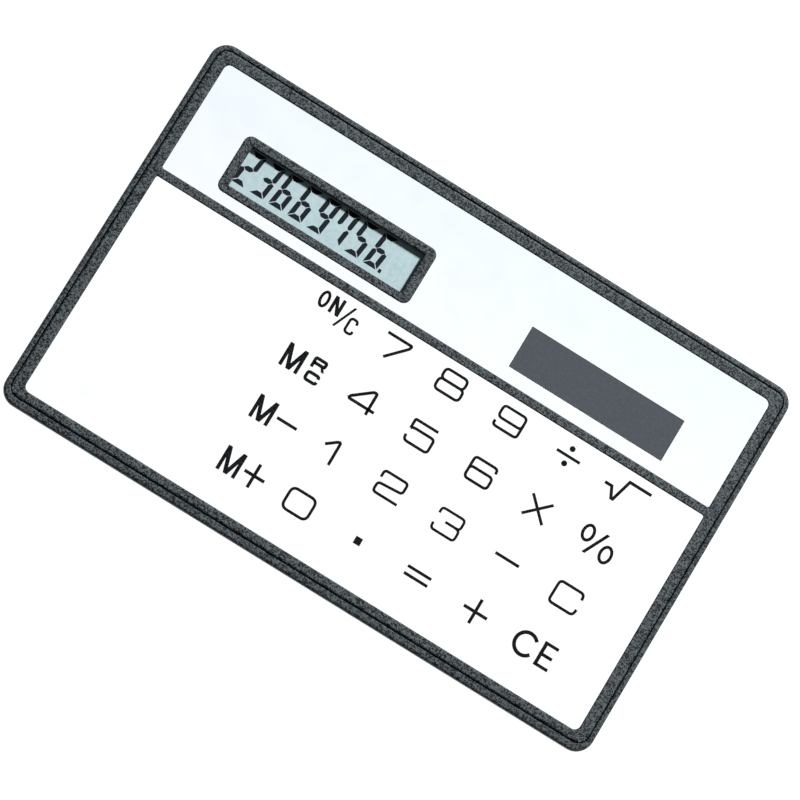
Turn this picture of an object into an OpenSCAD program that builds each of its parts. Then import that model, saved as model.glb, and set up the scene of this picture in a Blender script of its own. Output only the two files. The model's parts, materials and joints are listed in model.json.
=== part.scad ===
// Solar pocket calculator of credit-card size, lying face up.
// Units are millimetres. X runs left to right, Y from the key side to the display side, Z up.
// The origin is the middle of the flat back.

/* [Case] */
// Width of the calculator, left to right
case_w = 85.6; // [85.4:0.1:88]
// Depth of the calculator, front to back
case_d = 54; // [53.8:0.1:56]
// Radius of the case's corners, seen from above
case_corner_r = 2.4; // [2.2:0.1:3]
// Width of the rear cover's smooth rim around the frame
rim_w = 0.72; // [0.6:0.01:0.8]
// Open seam between the rim and the frame
seam_w = 0.12; // [0.1:0.01:0.25]
// Width of the frame's border around the white panels
border_w = 1.51; // [1.3:0.01:1.6]
// How much narrower the frame's border is along the front
front_step = 0.29; // [0:0.01:0.3]
// Radius of the white panels' outer corners
panel_corner_r = 0.9; // [0.6:0.1:1.2]

/* [Divider bar] */
// Width of the bar between the two white panels
divider_w = 1.1; // [0.8:0.05:1.2]
// Distance of the bar from the middle of the case
divider_y = 8.03; // [7.95:0.01:8.3]

/* [Layers, from the back up] */
// Thickness of the rear cover's floor
floor_t = 0.5; // [0.4:0.05:0.8]
// Height under the circuit board for its components
component_space = 0.6; // [0.6:0.05:0.8]
// Thickness of the circuit board
board_t = 0.4; // [0.4:0.05:0.6]
// Thickness of the key spacer sheet
spacer_t = 0.3; // [0.3:0.01:0.4]
// Thickness of the frame's inner plate
plate_t = 0.82; // [0.8:0.01:0.9]
// Thickness of the adhesive under the white panels
adhesive_t = 0.08; // [0.06:0.01:0.1]
// Thickness of the white panels
film_t = 0.18; // [0.15:0.01:0.25]
// Depth of the white panels below the frame's top
panel_recess = 0.12; // [0.08:0.01:0.2]

/* [Keys] */
// Width of a key's moving zone
key_w = 7; // [6.4:0.1:7.2]
// Depth of a key's moving zone
key_d = 5; // [4.4:0.1:5]
// Travel of a key, down to its contact
key_travel = 0.25; // [0.2:0.01:0.25]
// Spacing of the key columns
key_pitch_x = 8.55; // [8.4:0.05:8.6]
// Spacing of the key rows
key_pitch_y = 7.75; // [7.6:0.05:7.8]
// Middle of the left key column
first_key_x = -12.4; // [-12.8:0.1:-12.2]
// Middle of the top key row
first_key_y = 4.7; // [4.5:0.1:4.7]
// Diameter of the pip under each key
pip_dia = 3.2; // [2.6:0.1:3.6]

/* [Display] */
// Middle of the display, left to right
display_x = -19.37; // [-20:0.01:-19]
// Middle of the display, front to back
display_y = 14.2; // [14.1:0.1:14.3]
// Width of the display opening
display_w = 25.54; // [25:0.02:25.8]
// Depth of the display opening
display_d = 5.9; // [5.4:0.1:6]
// Width of the raised rim around the display opening, left and right
display_rim_x = 1.3; // [1:0.01:1.4]
// Width of the raised rim around the display opening, front and back
display_rim_y = 1.1; // [0.9:0.05:1.2]

/* [Solar cell] */
// Middle of the solar cell, left to right
solar_x = 20.93; // [20:0.01:21]
// Middle of the solar cell, front to back
solar_y = 13.52; // [13.4:0.01:13.8]
// Width of the solar cell
solar_w = 22.5; // [20:0.1:23]
// Depth of the solar cell
solar_d = 5.95; // [5:0.05:6]

/* [Hidden] */
$fn = 48;
eps = 0.01;

KEY_NAMES = [
    "key_on_clear", "key_7", "key_8", "key_9", "key_divide", "key_square_root",
    "key_memory_recall", "key_4", "key_5", "key_6", "key_multiply", "key_percent",
    "key_memory_minus", "key_1", "key_2", "key_3", "key_minus", "key_clear",
    "key_memory_plus", "key_0", "key_point", "key_equals", "key_plus", "key_clear_entry"
];

// Heights of the layers
floor_z = floor_t;
board_z = floor_z + component_space;
board_top_z = board_z + board_t;
plate_z = board_top_z + spacer_t;
seat_z = plate_z + plate_t;
film_z = seat_z + adhesive_t;
panel_z = film_z + film_t;
top_z = panel_z + panel_recess;

// Case
rim_drop = 0.1;
rim_round = 0.35;
draft_top_z = 2.1;
draft_inset = 0.42;
tray_w = case_w - 2 * rim_w;
tray_d = case_d - 2 * rim_w;
tray_corner_r = case_corner_r - rim_w;
frame_w = tray_w - 2 * seam_w;
frame_d = tray_d - 2 * seam_w;
frame_corner_r = tray_corner_r - seam_w;
skirt_t = 1;
skirt_corner_r = frame_corner_r / 2;
inside_w = frame_w - 2 * skirt_t;
inside_d = frame_d - 2 * skirt_t;
label_w = 52;
label_d = 24;
label_corner_r = 1.5;
label_depth = 0.1;

// White panels: one in front of the divider bar, one behind it
panel_w = frame_w - 2 * border_w;
panel_end_y = frame_d / 2 - border_w;
divider_front_y = divider_y - divider_w / 2;
divider_back_y = divider_y + divider_w / 2;
bar_corner_r = 0.3;
panel_clearance = 0.04;

// Snap catches on the frame's skirt, in notches of the rear cover's wall
catch_length = 4;
catch_height = 0.4;
catch_z = floor_z + 0.3;
catch_reach = seam_w + 0.12;
catch_root = 0.2;
notch_clearance = 0.06;
catch_spots_x = [-24, 0, 24];
catch_spots_y = [-12, 12];

// Lugs inside the skirt that hold the inner plate up against the border
lug_length = 3;
lug_reach = 0.3;
lug_height = 0.22;
lug_gap = 0.02;
lug_spots_x = [-30, 30];
lug_spots_y = [-16, 0];

// Inner plate, a loose fit inside the frame's skirt
plate_fit = 0.07;
inner_plate_w = inside_w - 2 * plate_fit;
inner_plate_d = inside_d - 2 * plate_fit;

// Heat stakes that hold the circuit board to the inner plate
stake_dia = 1.2;
stake_hole_dia = 1.4;
stake_head_dia = 2.2;
stake_head_t = 0.3;
stake_spots_x = [-38.6, -13, 13, 38.6];
stake_spots_y = [-23.2, 22.3];

// Pads of the rear cover that carry the board behind the keys
pad_dia = 3;
pad_hole_dia = 3.6;
pad_gap = 0.02;
pad_columns = [0.5, 2.5, 4.5];
pad_rows = [0.5, 2.5];

// Keys
key_columns = 6;
key_rows = 4;
key_corner_r = 0.5;
key_slit = 0.05;
key_opening_gap = 0.2;
contact_dia = 3.6;
contact_t = 0.03;
contact_split = 0.4;
contact_gap = 0.02;
spacer_hole_dia = 4.6;
spacer_margin = 1.6;
pip_z = board_top_z + contact_t + contact_gap + key_travel;

// Board and sheet
board_w = inside_w - 0.8;
board_d = inside_d - 0.8;
board_corner_r = 0.4;
sheet_t = 0.06;
sheet_margin = 1.2;
sheet_back_y = divider_front_y;

// Display, a stack that hangs under the inner plate
rim_outer_w = display_w + 2 * display_rim_x;
rim_outer_d = display_d + 2 * display_rim_y;
rim_outer_r = 1;
bezel_lip_t = 0.3;
bezel_fit = 0.05;
glass_t = 0.35;
polariser_t = 0.12;
gasket_t = 0.08;
ceiling_t = 0.34;
glass_w = display_w + 4;
glass_front_y = display_y - 5.6;
glass_back_y = display_y + 4.4;
ledge_d = 1.8;
glass_pocket_gap = 0.2;
polariser_margin = 0.3;
gasket_margin = 0.45;
gasket_w = 0.8;
gasket_ceiling_z = seat_z - ceiling_t;
polariser_top_z = gasket_ceiling_z - gasket_t;
front_glass_z = polariser_top_z - polariser_t - glass_t;
rear_glass_z = front_glass_z - glass_t;
reflector_z = rear_glass_z - polariser_t;
connector_t = 0.08;
connector_w = 14;
connector_x = display_x - 5.4;
connector_foot_d = 2;
connector_ramp_d = 1.2;
foam_margin = 1;
board_window_gap = 0.3;

// Solar cell, glued in its own pocket
solar_pocket_gap = 0.08;
solar_seat_z = plate_z + 0.2;
solar_floor_t = 0.45;
solar_floor_margin = 1;
solar_tape_t = 0.1;
solar_layer_t = 0.06;
solar_layer_inset = 0.1;
solar_tape_w = solar_w - 5;
solar_tape_inset = 0.4;
solar_drop = 0.02;
solar_layer_z = solar_seat_z + solar_tape_t;
solar_glass_z = solar_layer_z + solar_layer_t;
solar_top_z = panel_z - solar_drop;

// Solar leads, under the board
lead_dia = 0.28;
lead_hole_dia = 0.6;
lead_inset = 1;
lead_run_y = 9;
lead_run_x = 6.4;
lead_z = board_z - lead_dia / 2 - 0.02;

// Components under the board
chip_dia = 8;
chip_h = 0.48;
chip_spot = [-28, -8];
chip_sphere_r = (chip_dia * chip_dia / 4 + chip_h * chip_h) / (2 * chip_h);
capacitor_size = [3.2, 1.6, 0.5];
capacitor_spot = [2, 16];
diode_size = [2, 1.2, 0.45];
diode_spot = [2, 12.6];
resistor_size = [1.6, 0.8, 0.4];
resistor_spot = [-28, 2];
end_cap_share = 0.22;
end_cap_step = 0.04;

FRAME_BLACK = "#54565a";
RIM_BLACK = "#5c5f64";
PANEL_WHITE = "#f8f9fa";
FASCIA_WHITE = "#f1f6fa";

function key_x(column) = first_key_x + column * key_pitch_x;
function key_y(row) = first_key_y - row * key_pitch_y;

// ---- Shapes that repeat ----

// What a rounded corner takes off a square one, with the corner at the origin
module corner_cut(r, turn) {
    rotate(turn)
        difference() {
            translate([-eps, -eps])
                square(r + eps);
            translate([r, r])
                circle(r);
        }
}

// A rectangle from low to high with its own radius at the front and at the back corners
module soft_rect(low, high, front_r, back_r) {
    difference() {
        translate(low)
            square(high - low);
        translate(low)
            corner_cut(front_r, 0);
        translate([high.x, low.y])
            corner_cut(front_r, 90);
        translate(high)
            corner_cut(back_r, 180);
        translate([low.x, high.y])
            corner_cut(back_r, 270);
    }
}

// A rounded rectangle about the origin
module centred_rect(w, d, r) {
    soft_rect([-w / 2, -d / 2], [w / 2, d / 2], r, r);
}

// The frame's outline as seen from above, or that of the tray it sits in
module body_outline(w, d, r) {
    soft_rect([-w / 2, front_step - d / 2], [w / 2, d / 2], r, r);
}

// A flat layer made of the 2D shape that follows, from one height up to another
module layer(low_z, high_z) {
    translate([0, 0, low_z])
        linear_extrude(high_z - low_z)
            children();
}

module key_panel_outline(inset) {
    soft_rect(
        [-panel_w / 2 + inset, -panel_end_y + inset],
        [panel_w / 2 - inset, divider_front_y - inset],
        panel_corner_r - inset,
        bar_corner_r
    );
}

module fascia_outline(inset) {
    soft_rect(
        [-panel_w / 2 + inset, divider_back_y + inset],
        [panel_w / 2 - inset, panel_end_y - inset],
        bar_corner_r,
        panel_corner_r - inset
    );
}

module display_rim_outline(grow) {
    translate([display_x, display_y])
        centred_rect(rim_outer_w + 2 * grow, rim_outer_d + 2 * grow, rim_outer_r + grow);
}

module display_opening(grow) {
    translate([display_x, display_y])
        square([display_w + 2 * grow, display_d + 2 * grow], center = true);
}

module solar_outline(grow) {
    translate([solar_x, solar_y])
        square([solar_w + 2 * grow, solar_d + 2 * grow], center = true);
}

// Puts what follows at the middle of every key
module at_every_key() {
    for (row = [0 : key_rows - 1], column = [0 : key_columns - 1])
        translate([key_x(column), key_y(row)])
            children();
}

module key_openings(gap) {
    at_every_key()
        centred_rect(key_w + 2 * gap, key_d + 2 * gap, key_corner_r + gap);
}

// Puts what follows at every heat stake
module at_every_stake() {
    for (x = stake_spots_x, y = stake_spots_y)
        translate([x, y])
            children();
}

module at_every_pad() {
    for (column = pad_columns, row = pad_rows)
        translate([key_x(column), key_y(row)])
            children();
}

// One bar across a wall, rooted in the frame and pointing out, for the catches and their notches
module catch_bars(reach, grow) {
    length = catch_length + 2 * grow;
    height = catch_height + 2 * grow;
    middle = (reach - catch_root) / 2;
    for (x = catch_spots_x, side = [-1, 1])
        translate([
            x,
            side * (frame_d / 2 + middle) + (side < 0 ? front_step : 0),
            catch_z + catch_height / 2
        ])
            cube([length, reach + catch_root, height], center = true);
    for (y = catch_spots_y, side = [-1, 1])
        translate([side * (frame_w / 2 + middle), y, catch_z + catch_height / 2])
            cube([reach + catch_root, length, height], center = true);
}

// Half of the rear cover's outer outline in section, from the middle out to its wall
module case_section(reach) {
    rim_z = top_z - rim_drop;
    polygon([
        [0, 0],
        [reach - draft_inset, 0],
        [reach, draft_top_z],
        [reach, rim_z - rim_round],
        [reach - rim_round, rim_z],
        [0, rim_z]
    ]);
    translate([reach - rim_round, rim_z - rim_round])
        circle(rim_round);
}

module mirrored_section(reach) {
    case_section(reach);
    mirror([1, 0])
        case_section(reach);
}

// The rear cover's outer body: a slab with its edge section swept all round
module case_slab() {
    straight_w = case_w - 2 * case_corner_r;
    straight_d = case_d - 2 * case_corner_r;
    rotate([90, 0, 90])
        translate([0, 0, -straight_w / 2])
            linear_extrude(straight_w)
                mirrored_section(case_d / 2);
    rotate([90, 0, 0])
        translate([0, 0, -straight_d / 2])
            linear_extrude(straight_d)
                mirrored_section(case_w / 2);
    for (side_x = [-1, 1], side_y = [-1, 1])
        translate([side_x * straight_w / 2, side_y * straight_d / 2, 0])
            rotate_extrude()
                intersection() {
                    case_section(case_corner_r);
                    square(2 * top_z);
                }
}

// A round wire along straight runs between points, with ball joints at its bends
module wire(points, dia) {
    for (i = [0 : len(points) - 2]) {
        run = points[i + 1] - points[i];
        length = norm(run);
        translate(points[i])
            rotate([0, acos(run.z / length), atan2(run.y, run.x)])
                cylinder(h = length, d = dia);
    }
    for (i = [1 : len(points) - 2])
        translate(points[i])
            sphere(d = dia);
}

// A surface-mount part under the board, with an end cap at each side
module board_component(size, spot) {
    cap_w = size.x * end_cap_share;
    body_size = [size.x - 2 * cap_w, size.y - 2 * end_cap_step, size.z - end_cap_step];
    translate([spot.x, spot.y, board_z]) {
        translate([0, 0, -body_size.z / 2])
            cube(body_size, center = true);
        for (side = [-1, 1])
            translate([side * (size.x - cap_w) / 2, 0, -size.z / 2])
                cube([cap_w, size.y, size.z], center = true);
    }
}

// ---- Case ----

module rear_cover() {
    color(RIM_BLACK) {
        difference() {
            case_slab();
            layer(floor_z, top_z + 1)
                body_outline(tray_w, tray_d, tray_corner_r);
            catch_bars(catch_reach + notch_clearance, notch_clearance);
            layer(-1, label_depth)
                centred_rect(label_w, label_d, label_corner_r);
        }
        at_every_pad()
            translate([0, 0, floor_z - eps])
                cylinder(h = component_space - pad_gap + eps, d = pad_dia);
    }
}

// The visible border and divider bar, and the skirt that stands on the rear cover's floor
module front_frame() {
    color(FRAME_BLACK) {
        difference() {
            union() {
                layer(floor_z, top_z)
                    body_outline(frame_w, frame_d, frame_corner_r);
                catch_bars(catch_reach, 0);
            }
            layer(floor_z - 1, seat_z)
                centred_rect(inside_w, inside_d, skirt_corner_r);
            layer(seat_z - 1, top_z + 1)
                key_panel_outline(0);
            layer(seat_z - 1, top_z + 1)
                fascia_outline(0);
        }
        plate_lugs();
    }
}

module plate_lugs() {
    lug_z = plate_z - lug_gap - lug_height / 2;
    for (x = lug_spots_x, side = [-1, 1])
        translate([x, side * (inside_d / 2 - lug_reach / 2 + eps), lug_z])
            cube([lug_length, lug_reach + 2 * eps, lug_height], center = true);
    for (y = lug_spots_y, side = [-1, 1])
        translate([side * (inside_w / 2 - lug_reach / 2 + eps), y, lug_z])
            cube([lug_reach + 2 * eps, lug_length, lug_height], center = true);
}

// The plate under the white panels, with the keys' openings and the board's heat stakes
module inner_plate() {
    color(FRAME_BLACK) {
        difference() {
            union() {
                layer(plate_z, seat_z)
                    centred_rect(inner_plate_w, inner_plate_d, skirt_corner_r);
                layer(solar_seat_z - solar_floor_t, seat_z)
                    solar_outline(solar_floor_margin);
            }
            layer(plate_z - 1, seat_z + 1)
                key_openings(key_opening_gap);
            layer(plate_z - 1, seat_z + 1)
                display_opening(bezel_lip_t + bezel_fit);
            layer(plate_z - 1, gasket_ceiling_z)
                glass_outline(glass_front_y, glass_pocket_gap);
            layer(solar_seat_z, seat_z + 1)
                solar_outline(solar_pocket_gap);
            layer(floor_z, seat_z)
                at_solar_leads()
                    circle(d = lead_hole_dia);
        }
        at_every_stake() {
            translate([0, 0, board_z - stake_head_t])
                cylinder(h = stake_head_t, d = stake_head_dia);
            translate([0, 0, board_z - eps])
                cylinder(h = plate_z - board_z + 2 * eps, d = stake_dia);
        }
    }
}

// The raised rim around the display, with a lip that drops into the inner plate
module display_bezel() {
    color(FRAME_BLACK)
        difference() {
            union() {
                layer(seat_z, top_z)
                    display_rim_outline(0);
                layer(gasket_ceiling_z, seat_z + eps)
                    display_opening(bezel_lip_t);
            }
            layer(floor_z, top_z + 1)
                display_opening(0);
        }
}

// ---- White panels ----

module overlay_adhesive() {
    color("Gainsboro")
        layer(seat_z, film_z)
            difference() {
                key_panel_outline(2 * panel_clearance);
                key_openings(key_opening_gap);
            }
}

module key_overlay() {
    color(PANEL_WHITE)
        layer(film_z, panel_z)
            difference() {
                key_panel_outline(panel_clearance);
                key_openings(key_slit);
            }
}

// One key: its zone of the panel, and the pip under it that closes the contact
module key(row, column) {
    color(PANEL_WHITE)
        translate([key_x(column), key_y(row)]) {
            layer(film_z, panel_z)
                centred_rect(key_w, key_d, key_corner_r);
            translate([0, 0, pip_z])
                cylinder(h = film_z - pip_z + eps, d = pip_dia);
        }
}

module fascia_adhesive() {
    color("Gainsboro")
        layer(seat_z, film_z)
            difference() {
                fascia_outline(2 * panel_clearance);
                display_rim_outline(2 * panel_clearance);
                solar_outline(2 * solar_pocket_gap);
            }
}

module upper_fascia() {
    color(FASCIA_WHITE)
        layer(film_z, panel_z)
            difference() {
                fascia_outline(panel_clearance);
                display_rim_outline(panel_clearance);
                solar_outline(panel_clearance);
            }
}

// ---- Circuit board and keyboard contacts ----

module circuit_board() {
    color("DarkGoldenrod")
        layer(board_z, board_top_z)
            difference() {
                centred_rect(board_w, board_d, board_corner_r);
                glass_outline(glass_front_y + ledge_d, board_window_gap);
                at_every_stake()
                    circle(d = stake_hole_dia);
                at_solar_leads()
                    circle(d = lead_hole_dia);
            }
}

module contact_pads() {
    color("#222222")
        layer(board_top_z, board_top_z + contact_t)
            at_every_key()
                difference() {
                    circle(d = contact_dia);
                    square([contact_split, contact_dia + 1], center = true);
                }
}

module key_spacer() {
    color("WhiteSmoke")
        layer(board_top_z, plate_z)
            difference() {
                soft_rect(
                    [key_x(0), key_y(key_rows - 1)] - [key_w, key_d] / 2 - [1, 1] * spacer_margin,
                    [key_x(key_columns - 1) + key_w / 2 + spacer_margin, divider_front_y],
                    key_corner_r,
                    key_corner_r
                );
                at_every_key()
                    circle(d = spacer_hole_dia);
            }
}

module insulating_sheet() {
    color("#e8e4d0")
        layer(floor_z, floor_z + sheet_t)
            difference() {
                soft_rect(
                    [-board_w / 2 + sheet_margin, -board_d / 2 + sheet_margin],
                    [board_w / 2 - sheet_margin, sheet_back_y],
                    key_corner_r,
                    key_corner_r
                );
                at_every_pad()
                    circle(d = pad_hole_dia);
            }
}

// A low round dome of resin over the chip, hanging under the board
module controller_chip() {
    color("#1c1c1c")
        translate([chip_spot.x, chip_spot.y, board_z])
            rotate_extrude()
                intersection() {
                    translate([0, chip_sphere_r - chip_h])
                        circle(chip_sphere_r, $fn = 360);
                    translate([0, -chip_h])
                        square([chip_dia / 2, chip_h]);
                }
}

module smoothing_capacitor() {
    color("#b59a6a")
        board_component(capacitor_size, capacitor_spot);
}

module clamp_diode() {
    color("#333333")
        board_component(diode_size, diode_spot);
}

module oscillator_resistor() {
    color("#2a2a30")
        board_component(resistor_size, resistor_spot);
}

// ---- Display ----

// The display's glass as seen from above, from the given front edge to the back edge
module glass_outline(front_y, grow) {
    translate([display_x - glass_w / 2 - grow, front_y - grow])
        square([glass_w + 2 * grow, glass_back_y - front_y + 2 * grow]);
}

module display_gasket() {
    color("#202020")
        layer(polariser_top_z, gasket_ceiling_z)
            difference() {
                display_opening(gasket_margin + gasket_w);
                display_opening(gasket_margin);
            }
}

module display_polariser() {
    color("#b9c4bf")
        layer(polariser_top_z - polariser_t, polariser_top_z)
            glass_outline(glass_front_y + ledge_d, -polariser_margin);
}

module display_front_glass() {
    color("#c8d4d0")
        layer(front_glass_z, front_glass_z + glass_t)
            glass_outline(glass_front_y, 0);
}

module display_rear_glass() {
    color("#c8d4d0")
        layer(rear_glass_z, rear_glass_z + glass_t)
            glass_outline(glass_front_y + ledge_d, 0);
}

module display_reflector() {
    color("Silver")
        layer(reflector_z, reflector_z + polariser_t)
            glass_outline(glass_front_y + ledge_d, -polariser_margin);
}

// Flat flexible connector: it lies on the board, climbs and ends under the glass ledge
module display_connector() {
    ledge_y = glass_front_y + ledge_d - 0.3;
    ramp_top_y = glass_front_y + 0.2;
    ramp_foot_y = ramp_top_y - connector_ramp_d;
    foot_y = ramp_foot_y - connector_foot_d;
    climb_z = front_glass_z - connector_t;
    color("#c9a063")
        translate([connector_x - connector_w / 2, 0, 0])
            rotate([90, 0, 90])
                linear_extrude(connector_w)
                    polygon([
                        [foot_y, board_top_z],
                        [ramp_foot_y, board_top_z],
                        [ramp_top_y, climb_z],
                        [ledge_y, climb_z],
                        [ledge_y, front_glass_z],
                        [ramp_top_y, front_glass_z],
                        [ramp_foot_y, board_top_z + connector_t],
                        [foot_y, board_top_z + connector_t]
                    ]);
}

module display_foam_pad() {
    color("#3a3a3a")
        layer(floor_z, reflector_z)
            glass_outline(glass_front_y + ledge_d, -foam_margin);
}

// ---- Solar cell ----

// Puts what follows at the two places where the leads leave the solar cell
module at_solar_leads() {
    for (side = [-1, 1])
        translate([solar_x + side * (solar_w / 2 - lead_inset), solar_y])
            children();
}

module solar_cell_glass() {
    color("#565c66")
        layer(solar_glass_z, solar_top_z)
            solar_outline(0);
}

module solar_cell_layer() {
    color("#2c2a33")
        layer(solar_layer_z, solar_glass_z)
            solar_outline(-solar_layer_inset);
}

module solar_cell_tape() {
    color("#e6e6e0")
        layer(solar_seat_z, solar_layer_z)
            translate([solar_x, solar_y])
                square([solar_tape_w, solar_d - 2 * solar_tape_inset], center = true);
}

// A lead from the cell through the frame and the board, then along the board's underside
module solar_lead(side) {
    start_x = solar_x + side * (solar_w / 2 - lead_inset);
    wire(
        [
            [start_x, solar_y, solar_layer_z],
            [start_x, solar_y, lead_z],
            [start_x, lead_run_y, lead_z],
            [start_x - side * lead_run_x, lead_run_y, lead_z]
        ],
        lead_dia
    );
}

module solar_lead_positive() {
    color("Firebrick")
        solar_lead(1);
}

module solar_lead_negative() {
    color("#1a1a1a")
        solar_lead(-1);
}

rear_cover();
insulating_sheet();
circuit_board();
contact_pads();
controller_chip();
smoothing_capacitor();
clamp_diode();
oscillator_resistor();
key_spacer();
inner_plate();
front_frame();
display_bezel();
overlay_adhesive();
key_overlay();
for (row = [0 : key_rows - 1], column = [0 : key_columns - 1])
    key(row, column);
fascia_adhesive();
upper_fascia();
display_gasket();
display_polariser();
display_front_glass();
display_rear_glass();
display_reflector();
display_connector();
display_foam_pad();
solar_cell_glass();
solar_cell_layer();
solar_cell_tape();
solar_lead_positive();
solar_lead_negative();
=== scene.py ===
import json
import math

from collections import namedtuple

import bmesh
import bpy
from mathutils import Matrix, Vector
from mathutils.geometry import tessellate_polygon

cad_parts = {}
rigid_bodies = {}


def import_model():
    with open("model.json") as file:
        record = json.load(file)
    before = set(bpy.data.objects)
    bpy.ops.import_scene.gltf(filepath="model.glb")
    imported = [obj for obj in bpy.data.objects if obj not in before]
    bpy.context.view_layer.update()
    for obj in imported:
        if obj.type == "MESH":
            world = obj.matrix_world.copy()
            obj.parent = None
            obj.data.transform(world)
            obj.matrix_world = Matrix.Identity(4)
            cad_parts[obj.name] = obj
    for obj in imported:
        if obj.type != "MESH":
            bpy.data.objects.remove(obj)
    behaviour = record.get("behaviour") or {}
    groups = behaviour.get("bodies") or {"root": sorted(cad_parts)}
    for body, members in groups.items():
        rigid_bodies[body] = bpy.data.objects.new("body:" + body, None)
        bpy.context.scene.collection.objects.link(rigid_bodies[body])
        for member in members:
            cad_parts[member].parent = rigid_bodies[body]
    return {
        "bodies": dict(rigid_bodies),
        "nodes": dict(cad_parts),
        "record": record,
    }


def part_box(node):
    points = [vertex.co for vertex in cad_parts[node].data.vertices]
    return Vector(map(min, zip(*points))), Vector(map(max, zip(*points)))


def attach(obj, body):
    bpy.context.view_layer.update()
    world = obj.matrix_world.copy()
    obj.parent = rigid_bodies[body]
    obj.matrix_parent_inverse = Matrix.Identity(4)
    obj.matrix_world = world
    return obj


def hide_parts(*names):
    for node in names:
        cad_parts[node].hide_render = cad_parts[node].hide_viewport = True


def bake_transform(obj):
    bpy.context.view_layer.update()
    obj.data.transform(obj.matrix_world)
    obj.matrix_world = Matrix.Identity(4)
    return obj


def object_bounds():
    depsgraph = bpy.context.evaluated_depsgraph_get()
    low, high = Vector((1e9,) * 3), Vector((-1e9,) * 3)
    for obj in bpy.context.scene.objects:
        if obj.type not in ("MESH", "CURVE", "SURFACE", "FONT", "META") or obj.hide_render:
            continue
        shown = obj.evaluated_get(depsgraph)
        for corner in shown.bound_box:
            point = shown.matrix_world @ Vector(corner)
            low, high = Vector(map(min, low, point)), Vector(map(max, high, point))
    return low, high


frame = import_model()
cad_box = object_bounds()

# Looks of a card-size solar calculator, lying face up. Everything is in metres; MM turns a
# millimetre value into metres. X runs left to right, Y from the keys to the display, Z up.
MM = 0.001

CASE = "case"
KEYS = [body for body in frame["bodies"] if body != CASE]
SLOTS = {part["node"]: part["material_slot"] for part in frame["record"]["subparts"]}

# Heights and outlines that come from the frame
frame_low, frame_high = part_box("front_frame")
film_low, film_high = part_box("key_overlay")
fascia_low, fascia_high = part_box("upper_fascia")
cover_low, cover_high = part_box("rear_cover")
bezel_low, bezel_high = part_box("display_bezel")
_, polariser_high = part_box("display_polariser")
_, cell_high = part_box("solar_cell_glass")

# Roundings of the edges that show
COVER_TOP_ROUND = 0.1 * MM
COVER_BOTTOM_ROUND = 0.05 * MM
FRAME_OUTER_ROUND = 0.26 * MM
FRAME_INNER_ROUND = 0.1 * MM
BEZEL_ROUND = 0.14 * MM
PANEL_ROUND = 0.03 * MM
COVER_EDGE_REACH = 1.2 * MM  # how far in from the cover's box its bottom outline can lie
FRAME_EDGE_REACH = 0.6 * MM  # the same for the frame's outer outline

# Key film
FLEX_REACH = 0.2 * MM        # how far the film flexes beyond a key's own zone
FLEX_STEPS = 10              # rows of faces across the flexing part
PIP_DIA = 3.2 * MM
PIP_ROUND = 0.25 * MM
PIP_ROOT = 0.01 * MM         # how far the pip reaches up into the film
PIP_SEGMENTS = 40
KEY_TOP_MIN = (2.3 * MM, 1.95 * MM)     # half size of the part of a key that stays flat
LEGEND_MARGIN = 0.1 * MM     # flat film left around a legend
FILM_CORNER_R = 0.86 * MM    # the film's corners beside the frame's border
BAR_CORNER_R = 0.3 * MM      # the film's corners beside the divider bar

# Printed ink and display segments
INK_SINK = 0.004 * MM
INK_HEIGHT = 0.014 * MM
INK_STEP = 0.001 * MM        # each mark of a legend stands this much above the one before
LEGEND_SHIFT = (0.1, -0.06)  # from the middle of a key to its legend, in millimetres
STROKE = 0.37                # line width of the legends' plain strokes, in millimetres
SEGMENT_HEIGHT = 0.012 * MM
ARC_STEPS = 7

# Camera, at the photograph's viewing angle
CAMERA_TARGET = Vector((0.3 * MM, 0.1 * MM, 0))
CAMERA_DISTANCE = 658.3 * MM
CAMERA_AZIMUTH = math.radians(-11.59)
CAMERA_ELEVATION = math.radians(76.76)
CAMERA_ROLL = math.radians(31.24)
CAMERA_LENS = 236            # millimetres, on a sensor 36 millimetres wide
CAMERA_SENSOR = 36

# Light: one softbox from the back right, and a faint cool surround
SOFTBOX_TOWARD = (0.47, 1.1, 1)
SOFTBOX_DISTANCE = 1.8       # metres, as the size below
SOFTBOX_SIZE = 0.26
SOFTBOX_POWER = 53.0
SURROUND_COLOUR = (0.88, 0.96, 1, 1)
SURROUND_STRENGTH = 0.07

# Surface grain
GRAIN_SIZE = 0.15 * MM


# ---- Meshes ----

def new_piece(name, bm, material, flat_faces=True):
    """Turns a bmesh into an object that is smooth across its shallow bends. Faces square to an
    axis are left flat, so that rounded edges beside them do not tilt their shading."""
    square_on = 0.9999
    bmesh.ops.recalc_face_normals(bm, faces=bm.faces)
    mesh = bpy.data.meshes.new(name)
    bm.to_mesh(mesh)
    bm.free()
    mesh.materials.append(material)
    mesh.shade_smooth()
    mesh.set_sharp_from_angle(angle=math.radians(30))
    if flat_faces:
        for face in mesh.polygons:
            face.use_smooth = max(abs(c) for c in face.normal) < square_on
    piece = bpy.data.objects.new(name, mesh)
    bpy.context.scene.collection.objects.link(piece)
    return piece


def add_prism(bm, outline, holes, low, high):
    """A closed slab with the given outline and holes, both lists of (x, y), between two heights."""
    rings = [outline] + holes
    flat = [point for ring in rings for point in ring]
    levels = [[bm.verts.new((x, y, z)) for x, y in flat] for z in (low, high)]
    for a, b, c in tessellate_polygon([[Vector((x, y, 0)) for x, y in ring] for ring in rings]):
        for level in levels:
            bm.faces.new((level[a], level[b], level[c]))
    start = 0
    for ring in rings:
        for i in range(len(ring)):
            j = (i + 1) % len(ring)
            bottom = [levels[0][start + i], levels[0][start + j]]
            top = [levels[1][start + j], levels[1][start + i]]
            bm.faces.new(bottom + top)
        start += len(ring)


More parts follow.
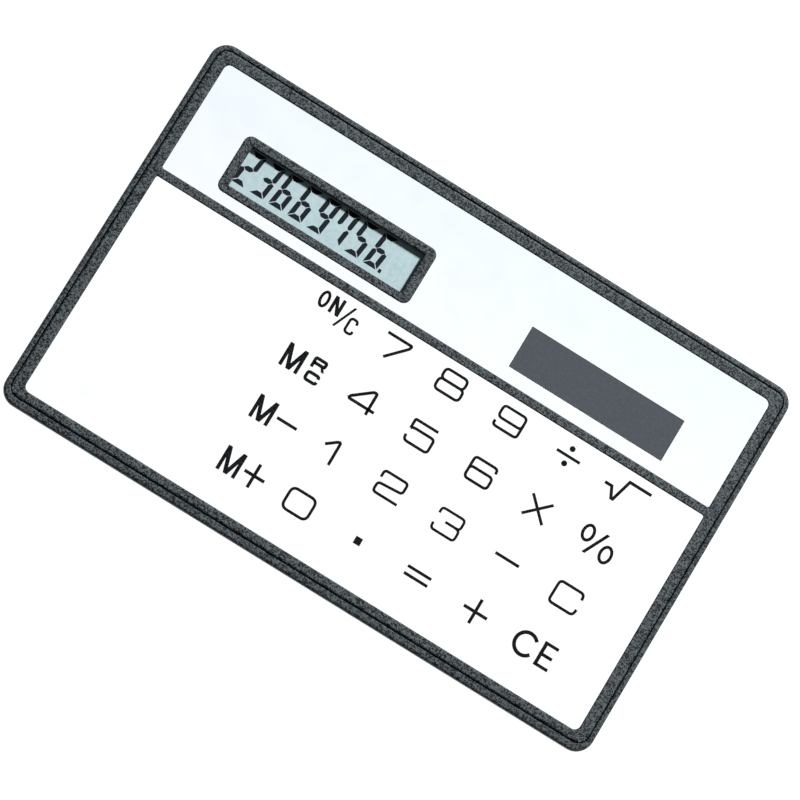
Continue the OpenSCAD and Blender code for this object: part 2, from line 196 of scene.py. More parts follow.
def add_ribbon(bm, one, other, closed, low, high):
    """A closed slab between two lines of as many points each, left and right of its middle line."""
    rows = [
        [bm.verts.new((x, y, z)) for (x, y), z in ((p, low), (q, low), (q, high), (p, high))]
        for p, q in zip(one, other)
    ]
    pairs = list(zip(rows, rows[1:])) + ([(rows[-1], rows[0])] if closed else [])
    for near, far in pairs:
        for i in range(4):
            j = (i + 1) % 4
            bm.faces.new((near[i], near[j], far[j], far[i]))
    if not closed:
        bm.faces.new(rows[0])
        bm.faces.new(rows[-1])


def add_lathe(bm, centre, profile, segments):
    """A closed solid of revolution about a vertical axis; the profile is (radius, height) pairs from
    the axis out and back to the axis."""
    ends = [bm.verts.new((centre.x, centre.y, profile[i][1])) for i in (0, -1)]
    rings = []
    for radius, height in profile[1:-1]:
        turns = [2 * math.pi * k / segments for k in range(segments)]
        rings.append([
            bm.verts.new((centre.x + radius * math.cos(t), centre.y + radius * math.sin(t), height))
            for t in turns
        ])
    for k in range(segments):
        j = (k + 1) % segments
        bm.faces.new((ends[0], rings[0][k], rings[0][j]))
        bm.faces.new((ends[1], rings[-1][k], rings[-1][j]))
        for inner, outer in zip(rings, rings[1:]):
            bm.faces.new((inner[k], inner[j], outer[j], outer[k]))


def arc(x, y, radius, start, end, steps=ARC_STEPS):
    """Points along an arc about (x, y); the angles are in degrees."""
    turns = [math.radians(start + (end - start) * k / steps) for k in range(steps + 1)]
    return [(x + radius * math.cos(t), y + radius * math.sin(t)) for t in turns]


def rounded_outline(x0, y0, x1, y1, front_r, back_r):
    """A rectangle's outline, anticlockwise, with one radius at the front and one at the back."""
    return (
        arc(x0 + front_r, y0 + front_r, front_r, 180, 270)
        + arc(x1 - front_r, y0 + front_r, front_r, 270, 360)
        + arc(x1 - back_r, y1 - back_r, back_r, 0, 90)
        + arc(x0 + back_r, y1 - back_r, back_r, 90, 180)
    )


def rectangle(x0, y0, x1, y1):
    return [(x0, y0), (x1, y0), (x1, y1), (x0, y1)]


def soften(bm, width, picked):
    """Rounds the sharp edges that picked(edge) accepts."""
    sharp = math.radians(35)
    edges = [e for e in bm.edges if e.calc_face_angle(0) > sharp and picked(e)]
    bmesh.ops.bevel(
        bm, geom=edges, offset=width, offset_type="OFFSET", segments=3, profile=0.5,
        affect="EDGES", clamp_overlap=False,
    )


def softened_copy(node, name, materials, roundings):
    """A copy of a CAD node with its visible edges rounded, standing in for that node. Each
    rounding is a width and the test that picks its edges."""
    weld = 0.002 * MM
    bm = bmesh.new()
    bm.from_mesh(frame["nodes"][node].data)
    bmesh.ops.remove_doubles(bm, verts=bm.verts, dist=weld)
    bmesh.ops.dissolve_limit(bm, angle_limit=math.radians(1), verts=bm.verts, edges=bm.edges)
    for width, picked in roundings:
        soften(bm, width, picked)
    piece = new_piece(name, bm, materials[SLOTS[node]])
    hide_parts(node)
    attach(piece, CASE)


def at_height(z, slack=0.002 * MM):
    """Accepts an edge that lies flat at that height."""
    return lambda edge: all(abs(v.co.z - z) < slack for v in edge.verts)


# ---- Line drawing: the shapes of legends and segments, in millimetres ----

Ribbon = namedtuple("Ribbon", "one other closed")

def eased(points, radius, closed):
    """The same line with each bend turned into a curve that starts that far from the corner."""
    if radius == 0:
        return [Vector(p) for p in points]
    count = len(points)
    line = []
    for i, corner in enumerate(map(Vector, points)):
        if not closed and i in (0, count - 1):
            line.append(corner)
            continue
        before, after = Vector(points[i - 1]) - corner, Vector(points[(i + 1) % count]) - corner
        start = corner + before.normalized() * min(radius, before.length / 2)
        end = corner + after.normalized() * min(radius, after.length / 2)
        for k in range(ARC_STEPS + 1):
            t = k / ARC_STEPS
            line.append(start * (1 - t) ** 2 + corner * 2 * t * (1 - t) + end * t ** 2)
    return line


def offset_line(line, distance, closed):
    """The line moved sideways, with its bends mitred."""
    longest_mitre = 2.0
    count = len(line)
    moved = []
    for i, point in enumerate(line):
        first = point - line[i - 1] if closed or i > 0 else line[1] - point
        second = line[(i + 1) % count] - point if closed or i < count - 1 else first
        side_a = Vector((-first.y, first.x)).normalized()
        side_b = Vector((-second.y, second.x)).normalized()
        middle = (side_a + side_b).normalized()
        stretch = min(1 / max(middle.dot(side_a), 0.1), longest_mitre)
        moved.append(tuple(point + middle * distance * stretch))
    return moved


def stroke(points, bend=0.0, width=STROKE, closed=False):
    """A line of even width through the points, with its bends eased."""
    line = eased(points, bend, closed)
    sides = [offset_line(line, side * width / 2, closed) for side in (-1, 1)]
    return Ribbon(sides[0], sides[1], closed)


def loop(x, y, w, d, bend, width=STROKE):
    """A closed line round a rectangle about (x, y), with eased corners."""
    return stroke(rectangle(x - w / 2, y - d / 2, x + w / 2, y + d / 2), bend, width, True)


def oval(x, y, rx, ry, width, start=0, end=360):
    """A line along an ellipse about (x, y), closed if it goes all the way round."""
    steps = 28
    closed = end - start == 360
    turns = [math.radians(start + (end - start) * k / steps) for k in range(steps + (not closed))]
    return stroke([(x + rx * math.cos(t), y + ry * math.sin(t)) for t in turns], 0, width, closed)


def disc(x, y, dia):
    flat = 8
    return Ribbon(arc(x, y, dia / 2, 180 + flat, 360 - flat), arc(x, y, dia / 2, 180 - flat, flat), False)


def bar(x0, y0, x1, y1):
    return Ribbon([(x0, y0), (x1, y0)], [(x0, y1), (x1, y1)], False)


def slant(x0, x1, y0, y1, width):
    """A leaning bar with level ends, from x0 at y0 to x1 at y1."""
    half = width / 2
    return Ribbon([(x0 + half, y0), (x1 + half, y1)], [(x0 - half, y0), (x1 - half, y1)], False)


def letter_m(x0, x1, y0, y1, stem):
    middle, lean = (x0 + x1) / 2, stem * 1.15
    return [
        bar(x0, y0, x0 + stem, y1),
        bar(x1 - stem, y0, x1, y1),
        slant(middle, x0 + lean / 2, y0, y1, lean),
        slant(middle, x1 - lean / 2, y0, y1, lean),
    ]


def letter_n(x0, x1, y0, y1, stem):
    return [
        bar(x0, y0, x0 + stem, y1),
        bar(x1 - stem, y0, x1, y1),
        slant(x1 - stem / 2, x0 + stem / 2, y0, y1, stem * 1.1),
    ]


def legends():
    """The marks printed on each key, about the middle of that key."""
    left, right, top, bottom, middle = -1.7, 1.7, 1.58, -1.48, 0.05
    soft, firm = 0.5, 0.2
    heavy, medium, fine = 0.48, 0.42, 0.34
    return {
        "key_0": [loop(-0.12, middle, 3.56, 2.98, 0.85)],
        "key_1": [stroke([(-1.25, 0.5), (0.1, top), (0.42, top), (0.46, -1.6)], firm, 0.39)],
        "key_2": [stroke([
            (left, 0.7), (left, 1.7), (right, 1.7), (right, 0.2), (left, -0.05), (left, -1.36),
            (1.82, -1.36),
        ], 0.45, 0.36)],
        "key_3": [
            stroke([(left, 0.75), (left, top), (1.64, top), (1.64, 0.1), (-0.45, 0.1)], soft, 0.34),
            stroke([(0.9, 0.1), (1.64, 0.0), (1.64, bottom), (left, bottom), (-1.76, -0.65)], soft, 0.34),
        ],
        "key_4": [stroke([
            (1.16, -1.42), (1.14, 1.64), (0.7, 1.64), (left, -0.34), (left, -0.66), (1.98, -0.66),
        ], firm, 0.4)],
        "key_5": [
            stroke([(1.6, top), (left, top), (left, 0.25)], firm),
            stroke([
                (left, 0.25), (-1.4, 0.5), (1.66, 0.5), (1.66, bottom), (left, bottom),
                (-1.82, -0.7),
            ], soft),
        ],
        "key_6": [
            loop(0.2, -0.58, 3.28, 1.66, 0.55),
            stroke([(1.86, 0.9), (1.8, top), (-1.44, top), (-1.44, -0.6)], soft),
        ],
        "key_7": [stroke([(-1.76, 1.44), (1.76, 1.44), (1.66, 1.0), (-0.72, -1.6)], firm, 0.39)],
        "key_8": [loop(-0.1, 0.78, 3.25, 1.46, 0.6), loop(-0.1, -0.72, 3.55, 1.56, 0.6)],
        "key_9": [
            loop(0.05, 0.56, 3.36, 1.66, 0.55, 0.36),
            stroke([(1.73, 0.4), (1.73, -1.54), (left, -1.54), (left, -0.86)], soft),
        ],
        "key_point": [bar(-0.49, -0.56, 0.46, 0.45)],
        "key_equals": [bar(-1.66, 0.47, 1.76, 0.86), bar(-1.66, -0.54, 1.76, -0.15)],
        "key_plus": [bar(-1.7, -0.08, 1.68, 0.34), bar(-0.26, -1.52, 0.16, 1.93)],
        "key_minus": [bar(-1.68, -0.01, 1.78, 0.38)],
        "key_multiply": [
            stroke([(-1.42, -1.52), (1.58, 1.46)], 0, 0.385),
            stroke([(-1.4, 1.44), (1.56, -1.52)], 0, 0.385),
        ],
        "key_divide": [bar(-1.7, -0.12, 1.7, 0.26), disc(0, 1.16, 0.77), disc(0, -0.98, 0.77)],
        "key_square_root": [stroke([
            (-2.95, -0.2), (-1.95, -0.2), (-1.28, -1.6), (-1.02, -1.6), (-0.2, 1.42), (2.98, 1.42),
        ], 0, 0.41)],
        "key_percent": [
            oval(-1.48, 0.85, 0.7, 1.02, 0.4),
            oval(1.78, -0.45, 0.72, 1.07, 0.4),
            slant(-0.85, 0.9, -1.64, 1.92, 0.46),
        ],
        "key_clear": [stroke([
            (2.12, 0.75), (2.02, top), (-1.45, top), (-1.5, bottom), (2.02, bottom), (2.16, -0.6),
        ], 0.55)],
        "key_clear_entry": [
            oval(-1.16, 0.05, 1.44, 1.5, 0.48, 38, 322),
            bar(0.87, -1.62, 1.34, 1.76),
            bar(0.85, 1.35, 2.85, 1.76),
            bar(0.85, -0.16, 2.72, 0.26),
            bar(0.85, -1.62, 2.9, -1.21),
        ],
        "key_memory_plus": letter_m(-2.8, -0.08, -1.66, 1.76, heavy) + [
            bar(0.48, -0.18, 3.34, 0.24), bar(1.64, -1.67, 2.06, 1.7),
        ],
        "key_memory_minus": letter_m(-2.74, -0.03, -1.58, 1.7, heavy) + [
            bar(0.5, -0.08, 3.38, 0.32),
        ],
        "key_memory_recall": letter_m(-2.94, -0.26, -1.7, 1.56, heavy) + [
            stroke([(0.8, 0.2), (0.8, 1.54), (2.34, 1.54), (2.34, 0.88), (0.8, 0.88)], 0.2, medium),
            slant(2.42, 2.0, 0.2, 0.9, medium),
            stroke([
                (2.4, -0.8), (2.34, -0.45), (0.82, -0.45), (0.82, -1.54), (2.34, -1.54), (2.42, -1.2),
            ], 0.35, medium),
        ],
        "key_on_clear": letter_n(-1.1, 0.4, -0.42, 1.95, 0.44) + [
            oval(-2.16, 0.72, 0.5, 1.0, 0.38),
            slant(0.45, 1.85, -1.6, 1.8, fine),
            stroke([
                (2.98, -0.05), (2.9, 0.48), (1.95, 0.48), (1.95, -1.48), (2.9, -1.48), (2.98, -1.0),
            ], 0.45, fine),
        ],
    }


def draw(name, ribbons, centre, low, high, material, body):
    """A piece made of closed slabs, one for each ribbon, about a centre."""
    bm = bmesh.new()
    for number, ribbon in enumerate(ribbons):
        one, other = (
            [(centre.x + x * MM, centre.y + y * MM) for x, y in side]
            for side in (ribbon.one, ribbon.other)
        )
        add_ribbon(bm, one, other, ribbon.closed, low, high + number * INK_STEP)
    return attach(new_piece(name, bm, material), body)


# ---- Materials ----

def tone(red, green, blue):
    """A linear colour with full alpha from screen values between 0 and 255."""
    return tuple(
        c / 12.92 / 255 if c <= 10 else ((c / 255 + 0.055) / 1.055) ** 2.4
        for c in (red, green, blue)
    ) + (1,)


class Surface:
    """A material of procedural nodes; its patterns are sized in the object's own metres."""

    def __init__(self, name):
        self.material = bpy.data.materials.new(name)
        self.material.use_nodes = True
        self.tree = self.material.node_tree
        self.shader = next(n for n in self.tree.nodes if n.type == "BSDF_PRINCIPLED")
        self.coordinates = self.tree.nodes.new("ShaderNodeTexCoord").outputs["Object"]
        self.normal = None

    def node(self, kind, inputs, **settings):
        node = self.tree.nodes.new(kind)
        for key, value in settings.items():
            setattr(node, key, value)
        for key, value in inputs.items():
            self.put(node.inputs[key], value)
        return node

    def put(self, socket, value):
        if isinstance(value, bpy.types.NodeSocket):
            self.tree.links.new(value, socket)
        else:
            socket.default_value = value

    def set(self, **inputs):
        """Shader inputs by name, with underscores for spaces."""
        for key, value in inputs.items():
            self.put(self.shader.inputs[key.replace("_", " ")], value)
        return self

    def stretched(self, x, y, z):
        """The coordinates scaled by axis, for marks that run one way."""
        scaled = self.node("ShaderNodeMapping", {"Vector": self.coordinates, "Scale": (x, y, z)})
        return scaled.outputs["Vector"]

    def along(self, axis):
        """How far along an axis a point is, in metres."""
        return self.node("ShaderNodeSeparateXYZ", {"Vector": self.coordinates}).outputs[axis]

    def noise(self, feature, detail=2.0, vector=None):
        """Even noise with features about that size."""
        made = self.node("ShaderNodeTexNoise", {
            "Vector": vector or self.coordinates, "Scale": 1 / feature, "Detail": detail,
        })
        return made.outputs["Fac"]

    def pits(self, size):
        """A random number for each of many scattered cells of about that size."""
        cells = self.node("ShaderNodeTexVoronoi", {"Vector": self.coordinates, "Scale": 1 / size})
        split = self.node("ShaderNodeSeparateColor", {"Color": cells.outputs["Color"]})
        return split.outputs["Red"]

    def span(self, factor, low, high, start=0.3, end=0.7):
        """The factor from start to end turned into a number from low to high."""
        made = self.node("ShaderNodeMapRange", {
            "Value": factor, "From Min": start, "From Max": end, "To Min": low, "To Max": high,
        })
        return made.outputs["Result"]

    def blend(self, factor, one, other):
        """One colour where the factor is 0, the other where it is 1."""
        made = self.node("ShaderNodeMix", {0: factor, 6: one, 7: other}, data_type="RGBA")
        return made.outputs[2]

    def bump(self, height, depth, strength=1.0):
        """Adds relief of that depth to what is there already."""
        inputs = {"Height": height, "Distance": depth, "Strength": strength}
        if self.normal is not None:
            inputs["Normal"] = self.normal
        self.normal = self.node("ShaderNodeBump", inputs).outputs["Normal"]
        self.put(self.shader.inputs["Normal"], self.normal)
        return self


def grained_plastic():
    """Charcoal black moulding with a fine spark-eroded grain."""
    s = Surface("grained_plastic")
    grain = s.pits(GRAIN_SIZE)
    worn = s.span(s.noise(6 * MM, 3.0), 0, 0.05)
    dark, light = tone(0, 1, 3), tone(88, 97, 101)
    colour = s.blend(worn, s.blend(s.span(grain, 0, 1, 0.3, 0.75), dark, light), tone(66, 74, 79))
    s.set(Base_Color=colour, Roughness=s.span(s.noise(0.3 * MM), 0.48, 0.64))
    s.set(Specular_IOR_Level=0.25)
    return s.bump(s.noise(0.2 * MM), 0.03 * MM, 0.7).material


def rim_plastic():
    """The rear cover: the same black, moulded smoother, with faint handling marks."""
    s = Surface("rim_plastic")
    grain = s.pits(GRAIN_SIZE)
    worn = s.span(s.noise(5 * MM, 3.0), 0, 0.2)
    colour = s.blend(s.span(grain, 0, 1, 0.3, 0.75), tone(4, 8, 11), tone(86, 95, 100))
    scuffs = s.noise(0.5 * MM, 4.0, s.stretched(1, 0.15, 1))
    s.set(Base_Color=s.blend(worn, colour, tone(66, 74, 78)))
    s.set(Roughness=s.span(scuffs, 0.5, 0.64), Specular_IOR_Level=0.2)
    return s.bump(s.noise(0.2 * MM), 0.016 * MM, 0.6).material


def key_film():
    """Matt white polyester film, printed white from behind."""
    s = Surface("key_film")
    mottle = s.noise(2.5 * MM, 3.0)
    colour = s.blend(s.span(mottle, 0, 1), tone(246, 247, 248), tone(252, 252, 252))
    s.set(Base_Color=colour, Roughness=s.span(s.noise(7 * MM), 0.42, 0.52))
    return s.bump(s.noise(0.12 * MM), 0.002 * MM, 0.5).material


def fascia_plastic():
    """Satin white plate with a slightly cool tint, and painted cool shade that deepens towards its back
    edge.
    """
    s = Surface("fascia_plastic")
    mottle = s.noise(3 * MM, 3.0)
    colour = s.blend(s.span(mottle, 0, 1), tone(236, 240, 243), tone(241, 243, 246))
    # Painted cool shade: from the front edge to the back edge the plate turns darker and bluer.
    painted_shade_share = s.span(s.along("Y"), 0, 1, fascia_low.y, fascia_high.y)
    painted_back_shade = s.blend(s.span(mottle, 0, 1), tone(227, 235, 241), tone(231, 238, 243))
    colour = s.blend(painted_shade_share, colour, painted_back_shade)
    s.set(Base_Color=colour, Roughness=s.span(s.noise(5 * MM), 0.4, 0.5))
    return s.bump(s.noise(0.2 * MM), 0.002 * MM, 0.4).material


def legend_ink():
    """Black screen-printed ink, thin enough to be a little speckled."""
    s = Surface("legend_ink")
    cover = s.pits(GRAIN_SIZE)
    s.set(Base_Color=s.blend(cover, tone(3, 5, 7), tone(34, 36, 39)))
    s.set(Roughness=s.span(cover, 0.6, 0.75, 0, 1), Specular_IOR_Level=0.03)
    return s.bump(s.noise(0.15 * MM), 0.003 * MM, 0.5).material


def display_face():
    """The polariser: pale grey-green film over the liquid crystal."""
    s = Surface("display_face")
    mottle = s.noise(0.5 * MM, 4.0)
    broad = s.noise(9 * MM)
    colour = s.blend(s.span(mottle, 0, 1), tone(166, 190, 193), tone(182, 205, 208))
    s.set(Base_Color=s.blend(s.span(broad, 0, 0.3), colour, tone(184, 204, 208)))
    s.set(Roughness=s.span(mottle, 0.5, 0.6), Specular_IOR_Level=0.2)
    return s.bump(s.noise(0.1 * MM), 0.001 * MM, 0.4).material


def display_segment():
    """Darkened liquid crystal, blue-black."""
    s = Surface("display_segment")
    mottle = s.noise(0.2 * MM, 2.0)
    s.set(Base_Color=s.blend(s.span(mottle, 0, 1), tone(4, 14, 22), tone(12, 24, 34)))
    return s.set(Roughness=s.span(mottle, 0.5, 0.6), Specular_IOR_Level=0.15).material


def display_glass():
    """Thin glass with a greenish edge."""
    s = Surface("display_glass")
    haze = s.noise(2 * MM, 2.0)
    s.set(Base_Color=s.blend(s.span(haze, 0, 1), tone(196, 214, 208), tone(210, 226, 220)))
    s.set(Roughness=s.span(haze, 0.04, 0.1), IOR=1.5, Transmission_Weight=0.6)
    return s.material


def solar_face():
    """Slate-grey cover over amorphous silicon."""
    s = Surface("solar_face")
    grain = s.noise(0.35 * MM, 3.0)
    colour = s.blend(s.span(grain, 0, 1), tone(70, 75, 82), tone(78, 83, 90))
    s.set(Base_Color=colour, Roughness=s.span(s.noise(4 * MM), 0.6, 0.7))
    s.set(Specular_IOR_Level=0.15)
    return s.bump(grain, 0.001 * MM, 0.5).material


def plain_plastic(name, dark, light, feature, rough, relief=0.004, **more):
    """A surface that varies between two colours, with matching roughness and relief."""
    s = Surface(name)
    mottle = s.noise(feature * MM, 3.0)
    s.set(Base_Color=s.blend(s.span(mottle, 0, 1), tone(*dark), tone(*light)))
    s.set(Roughness=s.span(mottle, rough, rough + 0.12), **more)
    return s.bump(s.noise(feature * MM / 4), relief * MM, 0.6).material


def circuit_board():
    """Brown paper laminate with its fibres and fine copper tracks under the lacquer."""
    s = Surface("board")
    fibre = s.noise(0.4 * MM, 4.0, s.stretched(1, 0.2, 1))
    tracks = s.node("ShaderNodeTexWave", {
        "Vector": s.coordinates, "Scale": 260.0, "Distortion": 3.0, "Detail": 1.0,
        "Detail Scale": 0.4,
    }).outputs["Fac"]
    base = s.blend(s.span(fibre, 0, 1), tone(120, 84, 34), tone(150, 108, 48))
    s.set(Base_Color=s.blend(s.span(tracks, 0, 0.7, 0.8, 0.9), base, tone(170, 120, 60)))
    s.set(Roughness=s.span(fibre, 0.35, 0.5))
    return s.bump(tracks, 0.01 * MM, 0.5).material


def flat_cable():
    """Amber heat-seal film with dark carbon tracks across its width."""
    s = Surface("connector_film")
    tracks = s.node("ShaderNodeTexWave", {
        "Vector": s.coordinates, "Scale": 320.0, "Distortion": 0.0,
    }, bands_direction="X").outputs["Fac"]
    stain = s.noise(1 * MM)
    base = s.blend(s.span(stain, 0, 1), tone(190, 140, 70), tone(208, 160, 88))
    s.set(Base_Color=s.blend(s.span(tracks, 0, 0.8, 0.45, 0.55), base, tone(40, 38, 36)))
    s.set(Roughness=s.span(stain, 0.35, 0.5))
    return s.bump(tracks, 0.005 * MM, 0.5).material


def light_table():
    """A light table's top: dull itself, and lit evenly from below."""
    s = Surface("light_table")
    fibre = s.noise(4 * MM, 2.0)
    s.set(Base_Color=s.blend(s.span(fibre, 0, 1), tone(86, 86, 86), tone(92, 92, 92)))
    s.set(Roughness=s.span(fibre, 0.8, 0.9), Emission_Color=(1, 1, 1, 1), Emission_Strength=1.0)
    return s.material


# ---- Case ----

def near_outline(z, low, high, reach):
    """Accepts an edge that lies flat at that height and close to the sides of a box."""
    def picked(edge):
        x, y, _ = (edge.verts[0].co + edge.verts[1].co) / 2
        margins = (x - low.x, high.x - x, y - low.y, high.y - y)
        return at_height(z)(edge) and min(margins) < reach
    return picked


def build_case(materials):
    cover_bottom = near_outline(cover_low.z, cover_low, cover_high, COVER_EDGE_REACH)
    frame_outer = near_outline(frame_high.z, frame_low, frame_high, FRAME_EDGE_REACH)
    at_frame_top = at_height(frame_high.z)
    softened_copy("rear_cover", "rear_cover_shell", materials, [
        (COVER_TOP_ROUND, at_height(cover_high.z)), (COVER_BOTTOM_ROUND, cover_bottom),
    ])
    softened_copy("front_frame", "front_frame_moulding", materials, [
        (FRAME_INNER_ROUND, lambda edge: at_frame_top(edge) and not frame_outer(edge)),
        (FRAME_OUTER_ROUND, frame_outer),
    ])
    softened_copy("display_bezel", "display_bezel_moulding", materials, [
        (BEZEL_ROUND, at_height(bezel_high.z)),
    ])
    softened_copy("upper_fascia", "upper_fascia_plate", materials, [
        (PANEL_ROUND, at_height(fascia_high.z)),
    ])
    softened_copy("solar_cell_glass", "solar_cell_face", materials, [
        (PANEL_ROUND, at_height(cell_high.z)),
    ])


# ---- Key film ----

class Key:
    """The places of one key, worked out from its CAD node and its legend."""

    def __init__(self, name, marks):
        low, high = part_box(name)
        self.name, self.marks = name, marks
        self.pip_z = low.z
        self.centre = Vector(((low.x + high.x) / 2, (low.y + high.y) / 2, film_high.z))
        self.print_centre = self.centre + Vector(LEGEND_SHIFT).to_3d() * MM
        self.outer = (
            (low.x - FLEX_REACH, low.y - FLEX_REACH), (high.x + FLEX_REACH, high.y + FLEX_REACH),
        )
        points = [Vector(p) * MM for mark in marks for p in mark.one + mark.other]
        self.inner = tuple(
            tuple(
                furthest([self.print_centre[i] + p[i] + side * LEGEND_MARGIN for p in points]
                         + [self.centre[i] + side * KEY_TOP_MIN[i]])
                for i in range(2)
            )
            for side, furthest in ((-1, min), (1, max))
        )


def build_key_top(key, material):
    """The part of the film that goes down flat with its key, and the pip under it."""
    bm = bmesh.new()
    add_prism(bm, rectangle(*key.inner[0], *key.inner[1]), [], film_low.z, film_high.z)
    r, low = PIP_DIA / 2, key.pip_z
    edge = [(x, y) for x, y in arc(r - PIP_ROUND, low + PIP_ROUND, PIP_ROUND, 270, 360)]
    profile = [(0, low)] + edge + [(r, film_low.z + PIP_ROOT), (0, film_low.z + PIP_ROOT)]
    add_lathe(bm, key.centre, profile, PIP_SEGMENTS)
    piece = new_piece(key.name + "_top", bm, material)
    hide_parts(key.name)
    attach(piece, key.name)


def build_flex(key, side, corner, material):
    """One of the four strips of film around a key, between its flat top and the sheet. It starts at the
    corner of that number, counted anticlockwise from the front left."""
    outer, inner = (rectangle(*half[0], *half[1]) for half in (key.outer, key.inner))
    ends = (corner, (corner + 1) % 4)
    bm = bmesh.new()
    rows = []
    for step in range(FLEX_STEPS + 1):
        share = step / FLEX_STEPS
        (xa, ya), (xb, yb) = (Vector(outer[i]).lerp(Vector(inner[i]), share) for i in ends)
        top, bottom = film_high.z, film_low.z
        rows.append([
            bm.verts.new(p) for p in ((xa, ya, top), (xb, yb, top), (xb, yb, bottom), (xa, ya, bottom))
        ])
    for near, far in zip(rows, rows[1:]):
        for i in range(4):
            j = (i + 1) % 4
            bm.faces.new((near[i], near[j], far[j], far[i]))
    bm.faces.new(rows[0])
    bm.faces.new(rows[-1])
    piece = new_piece(f"{key.name}_flex_{side}", bm, material, flat_faces=False)
    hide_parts(key.name)
    across = 1 - corner % 2
    start, end = key.centre.copy(), key.centre.copy()
    start[across], end[across] = outer[corner][across], inner[corner][across]
    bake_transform(piece)


def build_key_film(materials):
    marks = legends()
    keys = [Key(name, marks[name]) for name in KEYS]
    bm = bmesh.new()
    outline = rounded_outline(
        film_low.x, film_low.y, film_high.x, film_high.y, FILM_CORNER_R, BAR_CORNER_R
    )
    openings = [rectangle(*key.outer[0], *key.outer[1]) for key in keys]
    add_prism(bm, outline, openings, film_low.z, film_high.z)
    web = new_piece("key_film_sheet", bm, materials["key_film"])
    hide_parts("key_overlay")
    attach(web, CASE)
    for key in keys:
        build_key_top(key, materials["key_film"])
        for corner, side in enumerate(("front", "right", "back", "left")):
            build_flex(key, side, corner, materials["key_film"])
        draw(
            key.name + "_legend", key.marks, key.print_centre, film_high.z - INK_SINK,
            film_high.z + INK_HEIGHT, materials["legend_ink"], key.name,
        )


# ---- Display ----

DIGIT_PITCH = 2.783          # millimetres, as all of this section
FIRST_DIGIT_X = -11.7        # from the middle of the display opening
DIGIT_Y = 0.39
DIGIT_HALF_W = 0.71
DIGIT_HALF_H = 2.09
SEGMENT_HALF_T = 0.32
SEGMENT_GAP = 0.085
DIGIT_SLANT = 0.122
POINT_SIZE = (0.4, 0.5)
POINT_SPOT = (8.95, -1.88)

SHOWN = ("abdeg", "abcdg", "acdefg", "acdefg", "abcdfg", "abcf", "acdfg", "acdefg")


def segment(letter, x):
    """One segment of a digit whose middle is at x, as the two sides of a ribbon."""
    w, h, t, g = DIGIT_HALF_W, DIGIT_HALF_H, SEGMENT_HALF_T, SEGMENT_GAP
    level = [(t + g - w, h - t), (w - t - g, h - t)], [(g - w - t, h + t), (w + t - g, h + t)]
    upright = (
        [(w + t / 4, g), (w + t, g + t / 2), (w + t, h + t - g)],
        [(w - t / 4, g), (w - t, t + g), (w - t, h - t - g)],
    )
    middle = (
        [(g - w, -g / 2), (t + g - w, -t), (w - t - g, -t), (w - g, -g / 2)],
        [(g - w, g / 2), (t + g - w, t), (w - t - g, t), (w - g, g / 2)],
    )
    flip_x = -1 if letter in "ef" else 1
    flip_y = -1 if letter in "cde" else 1
    sides = {"a": level, "d": level, "g": middle}.get(letter, upright)
    one, other = (
        [(x + flip_x * px + DIGIT_SLANT * flip_y * py, DIGIT_Y + flip_y * py) for px, py in side]
        for side in sides
    )
    return Ribbon(one, other, False)


def build_display(materials):
    middle = (bezel_low + bezel_high) / 2
    low, high = polariser_high.z - INK_SINK, polariser_high.z + SEGMENT_HEIGHT
    for index, letters in enumerate(SHOWN):
        x = FIRST_DIGIT_X + index * DIGIT_PITCH
        draw(
            f"display_digit_{index + 1}", [segment(letter, x) for letter in letters], middle,
            low, high, materials["display_segment"], CASE,
        )
    (x, y), (w, d) = POINT_SPOT, POINT_SIZE
    draw(
        "display_point", [bar(x - w / 2, y - d / 2, x + w / 2, y + d / 2)], middle, low, high,
        materials["display_segment"], CASE,
    )


# ---- Surroundings ----

def build_floor(material):
    half = 1.5
    bm = bmesh.new()
    corners = [bm.verts.new((x, y, 0)) for x, y in rectangle(-half, -half, half, half)]
    bm.faces.new(corners)
    floor = new_piece("floor", bm, material)
    floor.location.z = cad_box[0].z - 0.01 * MM


def add_softbox(name, toward, distance, size, power):
    """A square area light in that direction from the object, turned towards it."""
    light = bpy.data.lights.new(name, "AREA")
    light.shape, light.size, light.energy = "SQUARE", size, power
    lamp = bpy.data.objects.new(name, light)
    direction = Vector(toward).normalized()
    lamp.location = direction * distance
    lamp.rotation_euler = direction.to_track_quat("Z", "Y").to_euler()
    bpy.context.scene.collection.objects.link(lamp)


def build_lights():
    add_softbox("key_softbox", SOFTBOX_TOWARD, SOFTBOX_DISTANCE, SOFTBOX_SIZE, SOFTBOX_POWER)
    world = bpy.data.worlds.new("studio")
    world.use_nodes = True
    surround = world.node_tree.nodes["Background"]
    surround.inputs["Color"].default_value = SURROUND_COLOUR
    surround.inputs["Strength"].default_value = SURROUND_STRENGTH
    bpy.context.scene.world = world


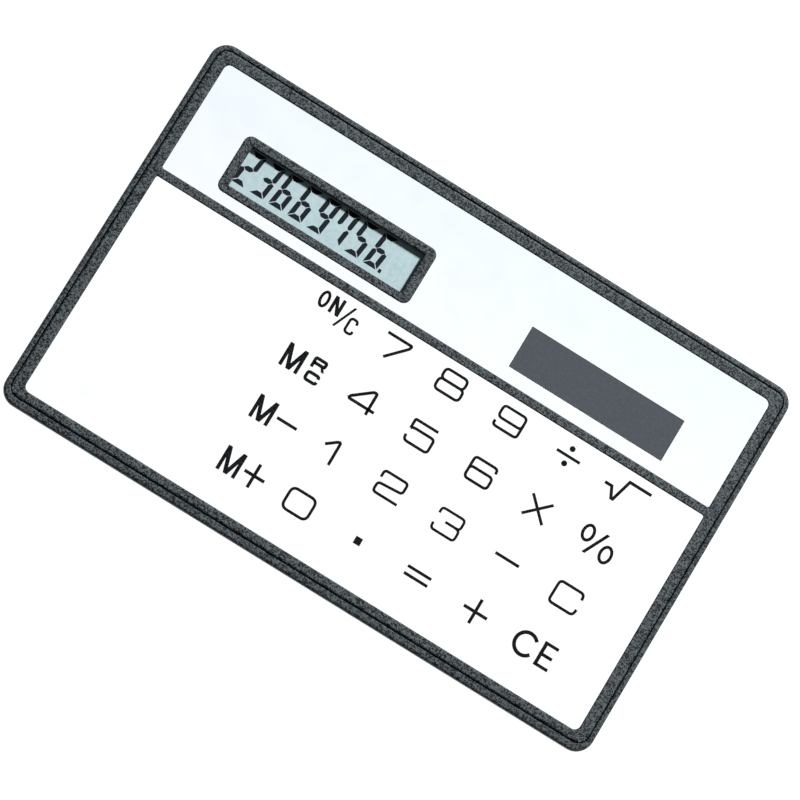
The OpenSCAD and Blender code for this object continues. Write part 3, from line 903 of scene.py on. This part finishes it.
def build_camera():
    back = Vector((
        math.sin(CAMERA_AZIMUTH) * math.cos(CAMERA_ELEVATION),
        -math.cos(CAMERA_AZIMUTH) * math.cos(CAMERA_ELEVATION),
        math.sin(CAMERA_ELEVATION),
    ))
    ahead = Vector((0, 1, 0))
    level_up = (ahead - back * ahead.dot(back)).normalized()
    up = Matrix.Rotation(CAMERA_ROLL, 3, back) @ level_up
    camera = bpy.data.objects.new("camera", bpy.data.cameras.new("camera"))
    camera.data.lens = CAMERA_LENS
    camera.data.sensor_width = CAMERA_SENSOR
    camera.data.clip_end = 10
    axes = Matrix((up.cross(back), up, back)).transposed().to_4x4()
    camera.matrix_world = Matrix.Translation(CAMERA_TARGET + back * CAMERA_DISTANCE) @ axes
    bpy.context.scene.collection.objects.link(camera)
    bpy.context.scene.camera = camera
    bpy.context.scene.view_settings.view_transform = "Standard"


# ---- The whole object ----

def make_materials():
    """All materials by name, in place of the plain ones that came with the frame."""
    for plain in list(bpy.data.materials):
        bpy.data.materials.remove(plain)
    made = [
        grained_plastic(), rim_plastic(), key_film(), fascia_plastic(), legend_ink(),
        display_face(), display_segment(), display_glass(), solar_face(), circuit_board(),
        flat_cable(), light_table(),
        plain_plastic("insulating_film", (206, 200, 176), (218, 212, 190), 3, 0.3),
        plain_plastic("spacer_film", (224, 225, 224), (236, 236, 235), 3, 0.35),
        plain_plastic("adhesive", (218, 219, 212), (230, 230, 224), 1, 0.5),
        plain_plastic("carbon_ink", (28, 29, 31), (46, 47, 49), 0.2, 0.6),
        plain_plastic("chip_resin", (20, 20, 21), (34, 34, 36), 1, 0.3),
        plain_plastic("ceramic_part", (164, 138, 100), (186, 158, 116), 0.3, 0.45),
        plain_plastic("foam", (30, 30, 31), (56, 56, 57), 0.25, 0.85, 0.06),
        plain_plastic("reflector", (186, 190, 189), (204, 208, 206), 0.4, 0.3, Metallic=0.6),
        plain_plastic("silicon", (36, 30, 38), (50, 42, 52), 1.5, 0.25),
        plain_plastic("lead_red", (160, 30, 28), (184, 42, 38), 0.6, 0.4),
        plain_plastic("lead_black", (24, 24, 25), (40, 40, 42), 0.6, 0.4),
    ]
    return {material.name: material for material in made}


def dress_nodes(materials):
    """Gives every carried-over CAD node the material of its slot in the record."""
    for part in frame["record"]["subparts"]:
        mesh = frame["nodes"][part["node"]].data
        mesh.materials.clear()
        mesh.materials.append(materials[part["material_slot"]])


materials = make_materials()
dress_nodes(materials)
build_camera()
build_lights()
build_floor(materials["light_table"])
build_case(materials)
build_key_film(materials)
build_display(materials)
